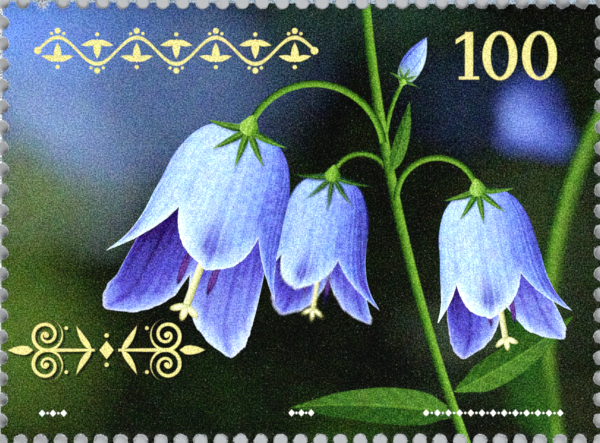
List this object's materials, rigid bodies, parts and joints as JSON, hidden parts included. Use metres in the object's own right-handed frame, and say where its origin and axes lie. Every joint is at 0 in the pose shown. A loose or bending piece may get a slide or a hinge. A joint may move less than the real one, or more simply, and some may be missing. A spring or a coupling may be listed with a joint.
{
  "type": "postage stamp",
  "caption": "Perforated postage stamp: a slightly bowed sheet of gummed paper with torn teeth along its sides, printed on one face and gummed on the other.",
  "frame": {"origin": "middle of the sheet, at the level of the surface that the stamp lies on", "axes": "+X along the picture's width, to its right; +Y up the picture; +Z out of the printed face"},
  "size_m": [0.0414, 0.0304, 0.0008],
  "materials": {
    "gummed_paper": "white coated stamp paper, printed in colour on its face, with a pale, slightly glossy gum on its back"
  },
  "bodies": {
    "root": {"stamp_paper": "gummed_paper"}
  },
  "joints": []
}
